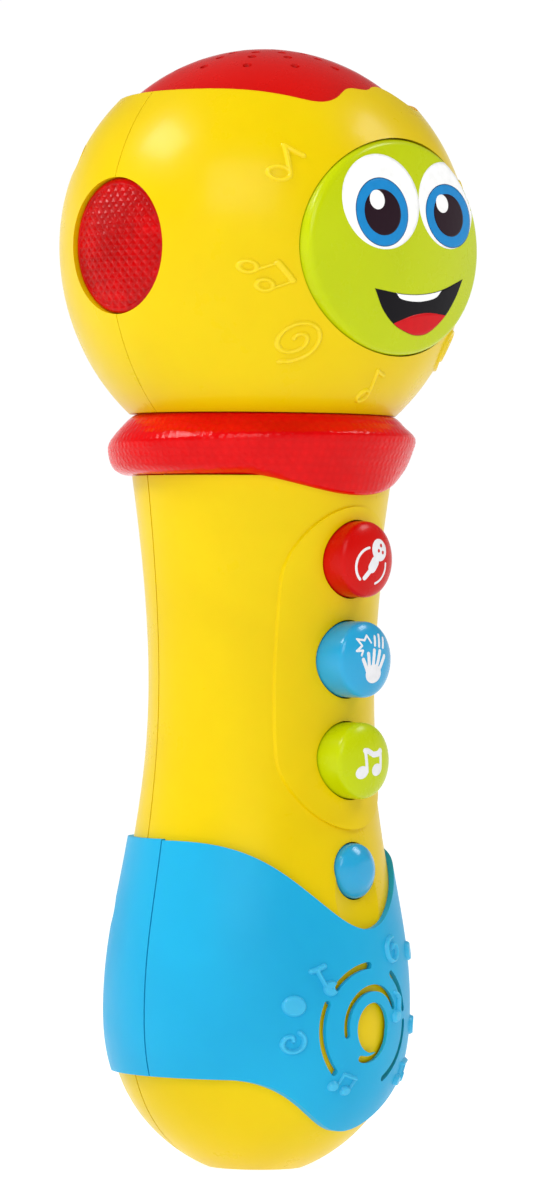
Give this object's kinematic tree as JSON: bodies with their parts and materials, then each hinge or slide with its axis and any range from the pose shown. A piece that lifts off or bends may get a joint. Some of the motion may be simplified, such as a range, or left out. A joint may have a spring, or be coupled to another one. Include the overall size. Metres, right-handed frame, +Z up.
{
  "type": "toy microphone",
  "caption": "Hand-held toy microphone with a round head, smiling face disc, light-up collar, side lenses, press buttons and a speaker grille.",
  "frame": {"origin": "middle of the flat the toy stands on, at the bottom of the handle", "axes": "+Z up along the handle to the head, -Y out of the face and the buttons, +X to the toy's left hand side as it faces out (right as seen from the front)"},
  "size_m": [0.0756, 0.0748, 0.21],
  "materials": {
    "battery_jacket": "satin",
    "black_plastic": "matte",
    "blue_button_plastic": "gloss",
    "blue_plastic": "satin",
    "circuit_green": "satin",
    "ferrite": "matte",
    "lamp_lens": "gloss",
    "lead_insulation": "satin",
    "lime_plastic": "gloss",
    "red_plastic": "gloss",
    "red_translucent": "gloss",
    "silicone": "matte",
    "speaker_paper": "matte",
    "white_plastic": "satin",
    "yellow_plastic": "gloss",
    "zinc_steel": "satin"
  },
  "bodies": {
    "toy": {"handle_front_shell": "yellow_plastic", "handle_rear_shell": "yellow_plastic", "skirt_front": "blue_plastic", "skirt_rear": "blue_plastic", "record_dome": "silicone", "clap_dome": "silicone", "music_dome": "silicone", "power_dome": "silicone", "circuit_board": "circuit_green", "board_components": "black_plastic", "board_screws": "zinc_steel", "speaker_frame": "zinc_steel", "speaker_cone": "speaker_paper", "speaker_magnet": "ferrite", "speaker_clamp": "white_plastic", "speaker_screws": "zinc_steel", "battery_cells": "battery_jacket", "battery_plates": "zinc_steel", "battery_springs": "zinc_steel", "handle_screws": "zinc_steel", "light_collar": "red_translucent", "ring_lamp_board": "circuit_green", "ring_lamps": "lamp_lens", "head_front_shell": "yellow_plastic", "head_rear_shell": "yellow_plastic", "face_disc": "lime_plastic", "top_cap": "red_plastic", "side_lens_left": "red_translucent", "side_lens_right": "red_translucent", "microphone_sleeve": "silicone", "microphone_capsule": "zinc_steel", "head_lamp_board": "circuit_green", "head_lamps": "lamp_lens", "lamp_board_screws": "zinc_steel", "head_screws": "zinc_steel", "speaker_leads": "lead_insulation", "battery_leads": "lead_insulation", "head_leads": "lead_insulation", "microphone_leads": "lead_insulation"},
    "record_button": {"record_button": "red_plastic"},
    "clap_button": {"clap_button": "blue_button_plastic"},
    "music_button": {"music_button": "lime_plastic"},
    "power_button": {"power_button": "blue_button_plastic"},
    "battery_door": {"battery_door": "yellow_plastic"},
    "door_screw": {"door_screw": "zinc_steel"}
  },
  "joints": [
    {"name": "record_press", "type": "slide", "parent": "toy", "child": "record_button", "axis": [0, 1, 0], "range_m": [0, 0.0016], "stiffness_N_per_m": 400, "springref_m": -0.002, "deforming": ["record_dome"]},
    {"name": "clap_press", "type": "slide", "parent": "toy", "child": "clap_button", "axis": [0, 1, 0], "range_m": [0, 0.0016], "stiffness_N_per_m": 400, "springref_m": -0.002, "deforming": ["clap_dome"]},
    {"name": "music_press", "type": "slide", "parent": "toy", "child": "music_button", "axis": [0, 1, 0], "range_m": [0, 0.0016], "stiffness_N_per_m": 400, "springref_m": -0.002, "deforming": ["music_dome"]},
    {"name": "power_press", "type": "slide", "parent": "toy", "child": "power_button", "axis": [0, 1, 0], "range_m": [0, 0.0012], "stiffness_N_per_m": 400, "springref_m": -0.002, "deforming": ["power_dome"]},
    {"name": "door_removal", "type": "slide", "parent": "toy", "child": "battery_door", "axis": [0, 1, 0], "range_m": [0, 0.06]},
    {"name": "door_screw_turn", "type": "hinge", "parent": "battery_door", "child": "door_screw", "pos_m": [0, 0.018, 0.1224], "axis": [0, 1, 0], "continuous": true}
  ]
}
